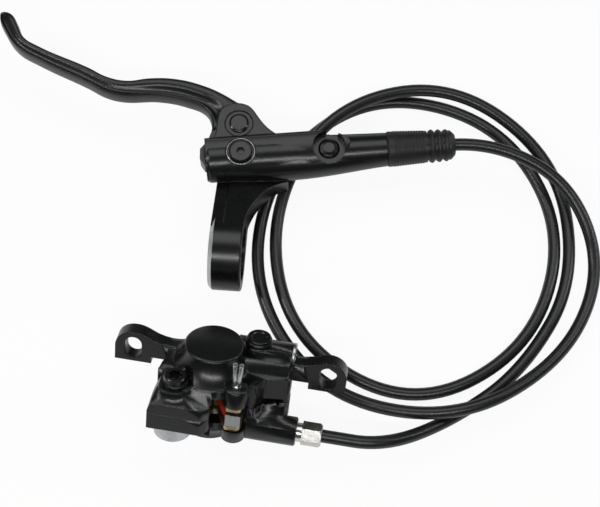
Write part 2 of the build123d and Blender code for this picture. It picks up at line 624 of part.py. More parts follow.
for name, side in (("outer", 1), ("inner", -1)):
    plate_outer = plate_inner + plate_thick
    with BuildPart() as piston:
        rod(caliper, piston_d / 2, side * plate_outer, side * (cylinder_end - plate_outer - 0.6))
        rod(caliper, 7.6, side * plate_outer, side * 6.5, mode=Mode.SUBTRACT)
    save(piston, "piston_" + name)
    with BuildPart() as piston_seal:
        rod(caliper, piston_d / 2 + 1.15, side * 9.05, side * 1.9)
        rod(caliper, piston_d / 2 + 0.02, side * 9.0, side * 2.0, mode=Mode.SUBTRACT)
    save(piston_seal, "piston_seal_" + name)
    with BuildPart() as pad_plate:
        slab(caliper, [(-13.4, -8.6), (3.5, -8.6), (8.4, -19.0), (14.2, -19.0), (14.2, 8.4),
                       (-13.4, 8.4)], side * plate_inner, side * plate_thick, rounding=1.9)
        rod(post(pin_x, pin_q), pin_r + 0.1, side * plate_inner, side * plate_thick, mode=Mode.SUBTRACT)
    save(pad_plate, "pad_plate_" + name)
    with BuildPart() as lining:
        slab(caliper, [(-12.0, -8.0), (12.0, -8.0), (12.0, 8.0), (-12.0, 8.0)],
             side * lining_inner, side * (plate_inner - lining_inner))
    save(lining, "pad_lining_" + name)

with BuildPart() as pad_spacer:
    slab(caliper, [(-12.0, -8.0), (3.2, -8.0), (8.9, -18.5), (13.6, -18.5), (13.6, 8.0), (-12.0, 8.0)],
         -spacer_half, 2 * spacer_half)
    rod(post(pin_x, pin_q), pin_r + 0.1, -spacer_half, 2 * spacer_half, mode=Mode.SUBTRACT)
save(pad_spacer, "pad_spacer")

spring_leaf = 0.4
spring_front = -19.8
with BuildPart() as pad_spring:
    for side in (1, -1):
        slab(caliper, [(8.6, spring_front), (14.2, spring_front), (14.2, -12.4), (8.6, -12.4)],
             side * 2.2, side * spring_leaf)
    slab(caliper, [(8.6, spring_front), (14.2, spring_front), (14.2, spring_front + spring_leaf),
                   (8.6, spring_front + spring_leaf)], -2.6, 5.2)
    rod(post(pin_x, pin_q), pin_r + 0.1, -3, 6, mode=Mode.SUBTRACT)
save(pad_spring, "pad_spring")

# The pads' split pin: two half round legs that spread above the boss.
pin_leg_r = 1.0
with BuildPart() as split_pin:
    rod(post(pin_x, pin_q), pin_r, -12.6, 12.6 + 15.4)
    for leg in (1, -1):
        spread = Plane(origin=at_caliper(pin_x + leg * 0.5, pin_q, 14.6),
                       z_dir=out_dir + ears_dir * (leg * 0.16))
        rod(spread, pin_leg_r, 0, 6.4)
save(split_pin, "split_pin")

with BuildPart() as caliper_bleed_screw:
    rod(post(bleed_x, bleed_q), 2.45, 8.2, bleed_top - 9.2)
save(caliper_bleed_screw, "caliper_bleed_screw")

with BuildPart() as bleed_port_cap:
    turned(post(bleed_x, bleed_q), [(bleed_top - 1.0, 0), (bleed_top - 1.0, 2.4), (bleed_top, 2.4),
                                    (bleed_top, 4.5), (bleed_top + 0.7, 4.5), (bleed_top + 1.0, 4.1),
                                    (bleed_top + 1.0, 3.0), (bleed_top + 0.6, 2.6), (bleed_top + 0.6, 0)])
save(bleed_port_cap, "bleed_port_cap")

with BuildPart() as passage_plug:
    rod(side_bar(side_boss_q, side_boss_n), 2.95, side_boss_end - 5.0, 5.2)
    hexagon(side_bar(side_boss_q, side_boss_n), 3.0, side_boss_end - 2.0, 3.0, mode=Mode.SUBTRACT)
save(passage_plug, "passage_plug")

# The hose's joints: at each end a flare nut holds the hose over an insert, with an olive round it.
hose_fit = 0.1
olive_length = 3.6
insert_flange = 1.0
for name, plane, seat, thread_end, hex_start, hex_end in (
        ("lever", barrel_plane, nut_seat, barrel_end, barrel_end + 0.3, flare_nut_hex_end),
        ("caliper", side_bar(port_q, port_n), port_end - 8.0, port_end, caliper_nut_hex, caliper_nut_end)):
    olive_at = seat + insert_flange
    with BuildPart() as insert:
        rod(plane, 2.4, seat, insert_flange)
        rod(plane, passage / 2, seat, insert_flange, mode=Mode.SUBTRACT)
    save(insert, name + "_insert")
    with BuildPart() as olive:
        rod(plane, flare_nut_thread / 2 - 0.2, olive_at, olive_length)
        rod(plane, hose_d / 2 + 0.02, olive_at, olive_length, mode=Mode.SUBTRACT)
    save(olive, name + "_olive")
    with BuildPart() as flare_nut:
        rod(plane, flare_nut_thread / 2, olive_at + olive_length, thread_end - olive_at - olive_length)
        rod(plane, 3.6, thread_end, hex_start - thread_end)
        hexagon(plane, flare_nut_flats, hex_start, hex_end - hex_start)
        turned(plane, [(hex_end - 1.2, 5.0), (hex_end + 0.1, 5.0), (hex_end + 0.1, 3.7)], mode=Mode.SUBTRACT)
        rod(plane, hose_d / 2 + hose_fit, seat, hex_end - seat + 1, mode=Mode.SUBTRACT)
    save(flare_nut, name + "_flare_nut")

# The rubber boot over the lever's nut, with grip ribs near its open end.
boot_wall_gap = 0.3
boot_start = barrel_end + 0.1
rib_first = 79.0
rib_pitch = 2.9
with BuildPart() as hose_boot:
    turned(barrel_plane, [(boot_start, 0), (boot_start, boot_start_r - 0.5), (boot_start + 0.6, boot_start_r),
                          (boot_end - 1.6, boot_end_r), (boot_end, boot_end_r - 1.6), (boot_end, 0)])
    for i in range(3):
        with BuildSketch(barrel_plane.offset(rib_first + i * rib_pitch)) as groove:
            Circle(boot_start_r + 1)
            Circle(boot_end_r - 0.3, mode=Mode.SUBTRACT)
        extrude(groove.sketch, amount=0.9, mode=Mode.SUBTRACT)
    rod(barrel_plane, flare_nut_flats / 2 / math.cos(math.radians(30)) + boot_wall_gap, barrel_end,
        flare_nut_hex_end + 0.3 - barrel_end, mode=Mode.SUBTRACT)
    rod(barrel_plane, hose_d / 2 + hose_fit, barrel_end, boot_end, mode=Mode.SUBTRACT)
save(hose_boot, "hose_boot")

# The hose's free route over the bench, from the lever's nut to the caliper's, as chosen points.
lever_exit = barrel_middle + along * flare_nut_hex_end
lever_lead = barrel_middle + along * 106.0
caliper_lead = at_caliper(68.0, port_q, port_n)
caliper_exit = at_caliper(caliper_nut_end, port_q, port_n)
route = [lever_exit, lever_lead]
for x, y, z in ((109, 25.5, 14), (122, -8, 2.8), (103.5, -46.5, 4.5), (58.5, -73.5, 14.5),
                (7.5, -59.5, 2.6), (-20.5, -15, 2.6), (-11.5, 38, 2.6), (29.5, 71.5, 2.6),
                (82.5, 58.5, 2.6), (108, 11, 2.6), (92, -40.5, 2.6), (44, -66, 2.6),
                (-3, -38.5, 2.6), (-13.5, 13.5, 2.6), (11, 59.5, 12), (63, 75, 7), (106.5, 41, 2.6),
                (111, -12, 2.6), (87.5, -50, 2.6), (58.5, -70, 2.6)):
    route.append(on_bench(x, y, z))
route += [caliper_lead, caliper_exit]

radii = []
for before, corner, after in zip(route, route[1:], route[2:]):
    half_turn = math.radians((corner - before).get_angle(after - corner)) / 2
    shorter = min((corner - before).length, (after - corner).length)
    radii.append(0.45 * shorter / math.tan(half_turn))
print("hose bends, from", round(min(radii), 1), "to", round(max(radii), 1), "mm")

with BuildPart() as hose:
    with BuildLine() as hose_line:
        Line(barrel_middle + along * (nut_seat + insert_flange), lever_exit)
        FilletPolyline(*route, radius=radii)
        Line(caliper_exit, at_caliper(port_end - 8.0 + insert_flange, port_q, port_n))
    with BuildSketch(barrel_plane.offset(nut_seat + insert_flange)) as hose_section:
        Circle(hose_d / 2)
    sweep(hose_section.sketch, path=hose_line.wire())
hose_length = hose_line.wire().length
print("hose length", round(hose_length, 1), "volume ratio",
      round(hose.part.volume / (math.pi * hose_d**2 / 4 * hose_length), 4))
save(hose, "hose")

box = Compound(children=[piece for name, piece in finished.items() if name != "hose"]).bounding_box()
print("box without the hose", box)
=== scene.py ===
import bpy
import bmesh
import math
from mathutils import Matrix, Vector


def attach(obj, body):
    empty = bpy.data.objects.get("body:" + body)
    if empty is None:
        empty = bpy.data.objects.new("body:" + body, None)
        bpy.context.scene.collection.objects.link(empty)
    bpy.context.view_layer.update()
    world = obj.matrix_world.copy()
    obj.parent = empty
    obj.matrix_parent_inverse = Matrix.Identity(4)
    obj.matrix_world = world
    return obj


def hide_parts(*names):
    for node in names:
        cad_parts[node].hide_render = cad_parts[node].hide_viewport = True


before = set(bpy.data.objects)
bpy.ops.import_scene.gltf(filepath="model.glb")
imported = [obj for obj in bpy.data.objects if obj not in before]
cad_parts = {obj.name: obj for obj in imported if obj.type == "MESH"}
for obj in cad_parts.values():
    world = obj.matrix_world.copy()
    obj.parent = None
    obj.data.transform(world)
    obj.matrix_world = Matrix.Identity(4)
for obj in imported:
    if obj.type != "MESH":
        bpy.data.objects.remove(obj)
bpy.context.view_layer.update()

# The bench and the light: a plain white table under one large soft box and three narrow
# strips, as a product shot is lit. The table shows nearly white to the lens and faintly in
# reflections, and still takes the brake's soft shadow.
MM = 0.001
layout_middle = Vector((-31.6, 8.45, 0.0)) * MM


def on_bench(x, y, z):
    """A point of the layout, given in millimetres, in metres from the footprint's middle."""
    return Vector((x, y, z)) * MM - layout_middle


def add_node(tree, kind, links=(), **settings):
    """Adds a shader node, sets its values and links its inputs from other nodes' outputs."""
    node = tree.nodes.new(kind)
    for name, value in settings.items():
        if hasattr(node, name):
            setattr(node, name, value)
        else:
            node.inputs[name.replace("_", " ")].default_value = value
    for socket, source in links:
        tree.links.new(source, node.inputs[socket])
    return node


def linear(code):
    """An sRGB colour such as '1a1a1c' as linear red, green, blue and alpha."""
    out = []
    for i in (0, 2, 4):
        c = int(code[i:i + 2], 16) / 255
        out.append(c / 12.92 if c <= 0.04045 else ((c + 0.055) / 1.055) ** 2.4)
    return (*out, 1.0)


def new_tree(name):
    """A material with an empty node tree."""
    material = bpy.data.materials.new(name)
    material.use_nodes = True
    material.node_tree.nodes.clear()
    return material, material.node_tree


white_to_lens = 0.92
white_in_gloss = 0.2
table_half_side = 1.6
table_drop = 0.2 * MM
table_material, tree = new_tree("white table top")
rays = add_node(tree, "ShaderNodeLightPath")
camera_share = add_node(tree, "ShaderNodeMath", [(0, rays.outputs["Is Camera Ray"])], operation="MULTIPLY")
camera_share.inputs[1].default_value = white_to_lens
glossy_share = add_node(tree, "ShaderNodeMath", [(0, rays.outputs["Is Glossy Ray"])], operation="MULTIPLY")
glossy_share.inputs[1].default_value = white_in_gloss
lit_share = add_node(tree, "ShaderNodeMath", [(0, camera_share.outputs[0]), (1, glossy_share.outputs[0])],
                     operation="ADD")
matt = add_node(tree, "ShaderNodeBsdfPrincipled", Base_Color=linear("f4f4f4"), Roughness=0.6)
glow = add_node(tree, "ShaderNodeEmission", Color=(1, 1, 1, 1), Strength=1.0)
both = add_node(tree, "ShaderNodeMixShader", [(0, lit_share.outputs[0]), (1, matt.outputs[0]),
                                              (2, glow.outputs[0])])
add_node(tree, "ShaderNodeOutputMaterial", [(0, both.outputs[0])])

table_mesh = bmesh.new()
bmesh.ops.create_grid(table_mesh, x_segments=1, y_segments=1, size=table_half_side)
bmesh.ops.translate(table_mesh, verts=table_mesh.verts, vec=(0, 0, -table_drop))
data = bpy.data.meshes.new("table_top")
table_mesh.to_mesh(data)
table_mesh.free()
table = bpy.data.objects.new("table_top", data)
table.data.materials.append(table_material)
bpy.context.scene.collection.objects.link(table)

world = bpy.data.worlds.new("studio")
world.use_nodes = True
world.node_tree.nodes["Background"].inputs["Color"].default_value = linear("eef1f4")
world.node_tree.nodes["Background"].inputs["Strength"].default_value = 0.1
bpy.context.scene.world = world
bpy.context.scene.view_settings.view_transform = "Standard"


def soft_lamp(name, place, width, height, watts):
    """A rectangular soft box that faces the middle of the bench."""
    lamp = bpy.data.lights.new(name, "AREA")
    lamp.shape = "RECTANGLE"
    lamp.size = width
    lamp.size_y = height
    lamp.energy = watts
    body = bpy.data.objects.new(name, lamp)
    body.location = place
    body.rotation_euler = (-Vector(place)).to_track_quat("-Z", "Y").to_euler()
    bpy.context.scene.collection.objects.link(body)


soft_lamp("overhead_box", (0.0, 0.41, 0.86), width=0.95, height=0.56, watts=3.0)
soft_lamp("front_strip", (-0.02, -0.43, 0.66), width=0.75, height=0.05, watts=2.6)
soft_lamp("left_strip", (-0.6, 0.0, 0.62), width=0.06, height=0.6, watts=1.9)
soft_lamp("right_strip", (0.66, 0.1, 0.42), width=0.05, height=0.5, watts=0.9)

# The camera: a long lens held 70 degrees above the bench, at the distance that gives the
# photograph's slight perspective.
photo_width = 600
focal_pixels = 1372
camera_distance = 0.5577
camera_height = math.radians(70.0)
sensor_width = 36.0
lens = bpy.data.cameras.new("photo_lens")
lens.sensor_width = sensor_width
lens.lens = sensor_width * focal_pixels / photo_width
lens.clip_start = 0.01
camera = bpy.data.objects.new("photo_camera", lens)
view_direction = Vector((0, -math.cos(camera_height), math.sin(camera_height)))
camera.location = on_bench(0, 0, 0) + view_direction * camera_distance
camera.rotation_euler = (math.pi / 2 - camera_height, 0, 0)
bpy.context.scene.collection.objects.link(camera)
bpy.context.scene.camera = camera


# Hose: a black polyurethane sleeve over a braided nylon tube, 5 mm thick. It comes as one
# length, is pushed into the two nuts and lies on the bench in its own loose loops.
# The sleeve is satin, with a faint mottle and the fine grain of its extrusion.
lever_x = -27.7
lever_y = -4.9
barrel_y = 37.8
barrel_height = 19.0
barrel_turn = math.radians(4.4)
barrel_along = Vector((math.cos(barrel_turn), math.sin(barrel_turn), 0))


def on_lever(x, y, z):
    """A point of the lever, in millimetres from an origin by the middle of its clamp."""
    return on_bench(lever_x + x, lever_y + y, z)


barrel_middle = on_lever(0, barrel_y, barrel_height)
caliper_lean = math.radians(35.0)
caliper_swing = math.radians(-9.5)
caliper_x = Vector((math.cos(caliper_swing), math.sin(caliper_swing), 0))
caliper_out = Vector((-math.sin(caliper_lean) * math.sin(caliper_swing),
                      math.sin(caliper_lean) * math.cos(caliper_swing), math.cos(caliper_lean)))
caliper_in = caliper_out.cross(caliper_x)
caliper_middle = on_bench(-33.3, -59.4, 21.55)


def on_barrel(along):
    """A point of the lever's cylinder, in millimetres along its axis."""
    return barrel_middle + barrel_along * along * MM


def on_caliper(x, q, n):
    """A point of the caliper: along the ears, towards the axle and outwards, in millimetres."""
    return caliper_middle + (caliper_x * x + caliper_in * q + caliper_out * n) * MM


hose_diameter = 5.0 * MM
grain_height = 0.2 * MM
loops = ((109, 25.5, 14), (122, -8, 2.8), (103.5, -46.5, 4.5), (58.5, -73.5, 14.5), (7.5, -59.5, 2.6),
         (-20.5, -15, 2.6), (-11.5, 38, 2.6), (29.5, 71.5, 2.6), (82.5, 58.5, 2.6), (108, 11, 2.6),
         (92, -40.5, 2.6), (44, -66, 2.6), (-3, -38.5, 2.6), (-13.5, 13.5, 2.6), (11, 59.5, 12),
         (63, 75, 7), (106.5, 41, 2.6), (111, -12, 2.6), (87.5, -50, 2.6), (58.5, -70, 2.6))
route = [on_barrel(54.0), on_barrel(72.0), on_barrel(106.0)]
route += [on_bench(*point) for point in loops]
route += [on_caliper(68.0, -7.5, -11.0), on_caliper(44.1, -7.5, -11.0), on_caliper(27.5, -7.5, -11.0)]

hose_curve = bpy.data.curves.new("brake_hose", "CURVE")
hose_curve.dimensions = "3D"
hose_spline = hose_curve.splines.new("NURBS")
hose_spline.points.add(len(route) - 1)
for point, place in zip(hose_spline.points, route):
    point.co = (*place, 1.0)
hose_spline.order_u = 3
hose_spline.use_endpoint_u = True
hose_spline.resolution_u = 14
hose_curve.bevel_depth = hose_diameter / 2
hose_curve.bevel_resolution = 6
hose = bpy.data.objects.new("brake_hose", hose_curve)
bpy.context.scene.collection.objects.link(hose)

sleeve, tree = new_tree("polyurethane sleeve")
place = add_node(tree, "ShaderNodeTexCoord")
mottle = add_node(tree, "ShaderNodeTexNoise", [("Vector", place.outputs["Object"])], Scale=160.0, Detail=3.0)
tint = add_node(tree, "ShaderNodeValToRGB", [(0, mottle.outputs["Fac"])])
tint.color_ramp.elements[0].color = linear("121314")
tint.color_ramp.elements[1].color = linear("1a1b1c")
gloss = add_node(tree, "ShaderNodeMapRange", [("Value", mottle.outputs["Fac"])], To_Min=0.27, To_Max=0.37)
fine = add_node(tree, "ShaderNodeTexNoise", [("Vector", place.outputs["Object"])], Scale=2400.0, Detail=2.0)
grain = add_node(tree, "ShaderNodeBump", [("Height", fine.outputs["Fac"])], Strength=0.06,
                 Distance=grain_height)
shader = add_node(tree, "ShaderNodeBsdfPrincipled", [("Base Color", tint.outputs[0]),
                                                      ("Roughness", gloss.outputs[0]),
                                                      ("Normal", grain.outputs[0])], IOR=1.5)
add_node(tree, "ShaderNodeOutputMaterial", [(0, shader.outputs[0])])
hose_curve.materials.append(sleeve)
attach(hose, "brake_body")
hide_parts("hose")

# Painted castings: the lever's body and both halves of the caliper are cast aluminium,
# blasted and sprayed satin black, so the eye gets a fine even grain, soft edges where
# the paint pulls back, and narrow soft highlights. The coat's patches are about 11 mm wide.
coat_patch_per_m = 90.0


def dress(node, material):
    """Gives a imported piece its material."""
    body = bpy.data.objects[node]
    body.data.materials.clear()
    body.data.materials.append(material)


def satin_black(name, dark, light, rough, grain_mm, grain_depth, edge_mm):
    """Sprayed or anodised black: a faint mottle, a fine grain and rounded edges."""
    material, tree = new_tree(name)
    place = add_node(tree, "ShaderNodeTexCoord")
    mottle = add_node(tree, "ShaderNodeTexNoise", [("Vector", place.outputs["Object"])],
                      Scale=coat_patch_per_m, Detail=4.0)
    tint = add_node(tree, "ShaderNodeValToRGB", [(0, mottle.outputs["Fac"])])
    tint.color_ramp.elements[0].color = linear(dark)
    tint.color_ramp.elements[1].color = linear(light)
    gloss = add_node(tree, "ShaderNodeMapRange", [("Value", mottle.outputs["Fac"])],
                     To_Min=rough[0], To_Max=rough[1])
    round_edge = add_node(tree, "ShaderNodeBevel", Radius=edge_mm * MM)
    round_edge.samples = 4
    fine = add_node(tree, "ShaderNodeTexNoise", [("Vector", place.outputs["Object"])],
                    Scale=1000 / grain_mm, Detail=2.0)
    grain = add_node(tree, "ShaderNodeBump", [("Height", fine.outputs["Fac"]),
                                              ("Normal", round_edge.outputs[0])],
                     Strength=grain_depth, Distance=grain_height)
    shader = add_node(tree, "ShaderNodeBsdfPrincipled", [("Base Color", tint.outputs[0]),
                                                          ("Roughness", gloss.outputs[0]),
                                                          ("Normal", grain.outputs[0])], IOR=1.5)
    add_node(tree, "ShaderNodeOutputMaterial", [(0, shader.outputs[0])])
    return material


casting_paint = satin_black("satin black sprayed casting", "070808", "0d0e0f", rough=(0.22, 0.32),
                            grain_mm=0.3125, grain_depth=0.08, edge_mm=0.6)
for node in ("master_body", "caliper_outer_half", "caliper_inner_half"):
    dress(node, casting_paint)

# Black screws, plugs and the pivot pin with its clip: turned from bar and oxide blackened,
# then oiled, which leaves them smoother than the castings.
black_oxide = satin_black("black oxide steel", "060606", "0b0b0c", rough=(0.18, 0.28),
                          grain_mm=0.2, grain_depth=0.03, edge_mm=0.3)
for node in ("bleed_screw", "pivot_pin", "pivot_clip", "clamp_bolt", "body_bolts", "bleed_port_cap",
             "reservoir_plug"):
    dress(node, black_oxide)

# Rubber boot and seals: moulded nitrile rubber, duller and a little greyer than the paint,
# with the grain of the mould on it.
boot_rubber = satin_black("moulded nitrile rubber", "0d0e0f", "151617", rough=(0.4, 0.54),
                          grain_mm=0.3846, grain_depth=0.12, edge_mm=0.3)
for node in ("hose_boot", "primary_seal", "secondary_seal", "piston_seal_outer", "piston_seal_inner"):
    dress(node, boot_rubber)


# Bare metal pieces: nickel plated nuts, zinc plated pins, brass olives and spring steel.
# They are turned or pressed, so uneven polish marks break up the reflections. The marks
# are drawn coarser than the real ones, about 1.4 mm, so that they show.
polish_marks_per_m = 700.0


def bare_metal(name, dark, light, rough):
    """A turned or pressed metal with a faint uneven polish."""
    material, tree = new_tree(name)
    place = add_node(tree, "ShaderNodeTexCoord")
    marks = add_node(tree, "ShaderNodeTexNoise", [("Vector", place.outputs["Object"])],
                     Scale=polish_marks_per_m, Detail=5.0)
    tint = add_node(tree, "ShaderNodeValToRGB", [(0, marks.outputs["Fac"])])
    tint.color_ramp.elements[0].color = linear(dark)
    tint.color_ramp.elements[1].color = linear(light)
    gloss = add_node(tree, "ShaderNodeMapRange", [("Value", marks.outputs["Fac"])],
                     To_Min=rough[0], To_Max=rough[1])
    round_edge = add_node(tree, "ShaderNodeBevel", Radius=0.2 * MM)
    round_edge.samples = 4
    scratch = add_node(tree, "ShaderNodeBump", [("Height", marks.outputs["Fac"]),
                                                ("Normal", round_edge.outputs[0])],
                       Strength=0.08, Distance=0.1 * MM)
    shader = add_node(tree, "ShaderNodeBsdfPrincipled", [("Base Color", tint.outputs[0]),
                                                          ("Roughness", gloss.outputs[0]),
                                                          ("Normal", scratch.outputs[0])], Metallic=1.0)
    add_node(tree, "ShaderNodeOutputMaterial", [(0, shader.outputs[0])])
    return material


nickel = bare_metal("nickel plated steel", "b9b8b3", "e2e1dc", (0.16, 0.3))
zinc = bare_metal("bright zinc plated steel", "a9abae", "d6d7d8", (0.2, 0.36))
brass = bare_metal("turned brass", "a08248", "cdb06e", (0.25, 0.4))
spring_wire = bare_metal("drawn spring steel", "8b8c8e", "b8b9ba", (0.25, 0.4))
plate_brass = bare_metal("passivated pad plate", "9a8a60", "c9bb8c", (0.3, 0.45))
for node, material in (("lever_flare_nut", nickel), ("caliper_flare_nut", nickel), ("split_pin", zinc),
                       ("push_rod", zinc), ("caliper_bleed_screw", zinc), ("passage_plug", zinc),
                       ("lever_insert", brass), ("lever_olive", brass), ("caliper_insert", brass),
                       ("caliper_olive", brass), ("return_spring", spring_wire), ("snap_ring", spring_wire),
                       ("pad_spring", spring_wire), ("pad_plate_outer", plate_brass),
                       ("pad_plate_inner", plate_brass), ("master_piston", zinc)):
    dress(node, material)


# Plain moulded and pressed pieces: the red transport spacer between the pads, the polymer
# bushes, the phenolic pistons and the pads' pressed friction blocks. Their flecks are
# drawn coarser than the real ones, 1 to 3 mm, so that they show.
def moulded(name, dark, light, rough, grain_mm, grain_depth):
    """A moulded or pressed material with its own grain."""
    material, tree = new_tree(name)
    place = add_node(tree, "ShaderNodeTexCoord")
    fleck = add_node(tree, "ShaderNodeTexNoise", [("Vector", place.outputs["Object"])],
                     Scale=1000 / grain_mm, Detail=3.0)
    tint = add_node(tree, "ShaderNodeValToRGB", [(0, fleck.outputs["Fac"])])
    tint.color_ramp.elements[0].color = linear(dark)
    tint.color_ramp.elements[1].color = linear(light)
    relief = add_node(tree, "ShaderNodeBump", [("Height", fleck.outputs["Fac"])],
                      Strength=grain_depth, Distance=grain_height)
    shader = add_node(tree, "ShaderNodeBsdfPrincipled", [("Base Color", tint.outputs[0]),
                                                          ("Normal", relief.outputs[0])],
                      Roughness=rough, IOR=1.46)
    add_node(tree, "ShaderNodeOutputMaterial", [(0, shader.outputs[0])])
    return material


red_spacer = moulded("red moulded polypropylene", "c8281c", "e03a28", rough=0.35, grain_mm=3.333,
                     grain_depth=0.05)
friction_block = moulded("pressed resin friction block", "3a342f", "6b5d50", rough=0.8, grain_mm=1.111,
                         grain_depth=0.5)
ground_piston = moulded("ground phenolic piston", "cfcabd", "ddd8cc", rough=0.4, grain_mm=2.0,
                        grain_depth=0.05)
bush_polymer = moulded("moulded acetal bush", "1c1c1c", "262626", rough=0.5, grain_mm=2.0,
                       grain_depth=0.05)
for node, material in (("pad_spacer", red_spacer), ("pad_lining_outer", friction_block),
                       ("pad_lining_inner", friction_block), ("piston_outer", ground_piston),
                       ("piston_inner", ground_piston), ("pivot_bushes", bush_polymer)):
    dress(node, material)


# Machined edge of the handlebar clamp: after painting, the clamp's left face and its
# bevel are faced off in a lathe, so a band of bare aluminium shows along that side.
turned_crease = math.radians(35.0)


def placed_piece(name, mesh, origin, axis, start, material):
    """Finishes a mesh modelled along +Z: turns it along an axis, seats it and rides it on the brake."""
    bmesh.ops.remove_doubles(mesh, verts=mesh.verts, dist=1e-7)
    bmesh.ops.recalc_face_normals(mesh, faces=mesh.faces)
    turn = Vector(axis).to_track_quat("Z", "X").to_matrix()
    bmesh.ops.rotate(mesh, verts=mesh.verts, cent=(0, 0, 0), matrix=turn)
    bmesh.ops.translate(mesh, verts=mesh.verts, vec=origin + Vector(axis) * (start * MM))
    data = bpy.data.meshes.new(name)
    mesh.to_mesh(data)
    mesh.free()
    for face in data.polygons:
        face.use_smooth = True
    data.set_sharp_from_angle(angle=turned_crease)
    piece = bpy.data.objects.new(name, data)
    bpy.context.scene.collection.objects.link(piece)
    data.materials.append(material)
    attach(piece, "brake_body")
    return piece


def spun(profile, steps=64):
    """A mesh turned about Z from a closed profile of radius and height pairs in millimetres."""
    mesh = bmesh.new()
    corners = [mesh.verts.new((r * MM, 0, h * MM)) for r, h in profile]
    edges = [mesh.edges.new(pair) for pair in zip(corners, corners[1:] + corners[:1])]
    bmesh.ops.spin(mesh, geom=corners + edges, cent=(0, 0, 0), axis=(0, 0, 1), dvec=(0, 0, 0),
                   angle=math.tau, steps=steps, use_merge=True, use_duplicate=False)
    return mesh


machined = bare_metal("faced bare aluminium", "9a9c9e", "d6d8d9", (0.22, 0.36))
clamp_turn = math.radians(-4.0)
clamp_along = Vector((math.cos(clamp_turn), math.sin(clamp_turn), 0))
clamp_middle = on_lever(-1.1, -0.2, 15.0)
clamp_half_width = 6.4
faced_profile = ((11.3, -0.04), (13.55, -0.04), (15.06, 1.47), (15.0, 1.62), (13.4, 0.1), (11.3, 0.1))
placed_piece("clamp_machined_edge", spun(faced_profile, steps=96), clamp_middle, clamp_along,
             -clamp_half_width, machined)


# Polished lip round the reservoir's bleed screw: the pocket is spot faced after painting,
# which leaves a narrow bright ring.
def bead(radius, wire, steps=64):
    """A ring of round wire: the ring's radius and the wire's, in millimetres."""
    mesh = bmesh.new()
    bmesh.ops.create_circle(mesh, segments=12, radius=wire * MM)
    bmesh.ops.rotate(mesh, verts=mesh.verts, cent=(0, 0, 0),
                     matrix=Matrix.Rotation(math.pi / 2, 3, "X"))
    bmesh.ops.translate(mesh, verts=mesh.verts, vec=(radius * MM, 0, 0))
    bmesh.ops.spin(mesh, geom=mesh.verts[:] + mesh.edges[:], cent=(0, 0, 0), axis=(0, 0, 1),
                   dvec=(0, 0, 0), angle=math.tau, steps=steps, use_merge=True, use_duplicate=False)
    return mesh


up = Vector((0, 0, 1))
screw_at = 4.2
housing_top = 8.2
lip_radius = 5.55
lip_wire = 0.16
lip_sunk = 0.1
placed_piece("bleed_screw_lip", bead(lip_radius, lip_wire), on_barrel(screw_at), up, housing_top - lip_sunk,
             machined)

# Grip knurl and ribs of the rubber boot: moulded rings round it, twelve fine ones for the
# thumb and three coarse ones that let its end flex.
boot_start = 63.3
boot_end = 88.6
boot_thick = 7.15
boot_thin = 5.9


def boot_radius(u):
    """The boot's radius at a distance along the barrel."""
    return boot_thick + (boot_thin - boot_thick) * (u - boot_start) / (boot_end - boot_start)


def boot_rings(name, count, first, pitch, sunk, wire):
    """A row of rings round the boot, sunk a little into it."""
    for i in range(count):
        u = first + pitch * i
        placed_piece("%s_%d" % (name, i + 1), bead(boot_radius(u) - sunk, wire, steps=48), on_barrel(0),
                     barrel_along, u, boot_rubber)


boot_rings("boot_knurl", count=12, first=65.8, pitch=1.05, sunk=0.12, wire=0.34)
boot_rings("boot_rib", count=3, first=80.9, pitch=2.9, sunk=0.35, wire=0.85)

# Faced flange round the caliper's passage plug, and the faced foot under its nose: both are
# machined after painting, so bare aluminium shows at their rims.
plug_axis = on_caliper(0, 8.2, 12.2)
flange_start = 28.7
flange_profile = ((3.1, 0.0), (4.75, 0.0), (4.95, 0.2), (4.95, 0.9), (4.75, 1.1), (3.1, 1.1))
placed_piece("passage_flange", spun(flange_profile), plug_axis, caliper_x, flange_start, machined)
foot_axis = on_caliper(-11.4, -14.5, 0)
foot_profile = ((0.0, -13.62), (6.75, -13.62), (7.04, -13.3), (7.04, -5.5), (0.0, -5.5))
placed_piece("nose_foot", spun(foot_profile), foot_axis, caliper_out, 0.0, machined)


# Caliper halves: gravity cast aluminium, whose nose is fettled to sloping faces below the
# body bolt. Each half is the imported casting, trimmed at its nose to those faces.
block_depth = 12.0
cast_crease = math.radians(30.0)


def on_caliper_way(x, q, n):
    """A direction of the caliper's frame."""
    return (caliper_x * x + caliper_in * q + caliper_out * n).normalized()


def trim_block(place, outward, along, length, breadth):
    """A block whose inner face lies on a cutting plane: its middle, its normal and its two sides."""
    normal = on_caliper_way(*outward)
    side = on_caliper_way(*along)
    across = normal.cross(side)
    block = bmesh.new()
    corners = bmesh.ops.create_cube(block, size=1.0)["verts"]
    bmesh.ops.translate(block, verts=corners, vec=(0, 0, 0.5))
    bmesh.ops.scale(block, verts=corners, vec=(length * MM, breadth * MM, block_depth * MM))
    turn = Matrix((side, across, normal)).transposed()
    bmesh.ops.rotate(block, verts=corners, cent=(0, 0, 0), matrix=turn)
    bmesh.ops.translate(block, verts=corners, vec=on_caliper(*place))
    bmesh.ops.recalc_face_normals(block, faces=block.faces)
    data = bpy.data.meshes.new("trim_block")
    block.to_mesh(data)
    block.free()
    cutter = bpy.data.objects.new("trim_block", data)
    bpy.context.scene.collection.objects.link(cutter)
    return cutter


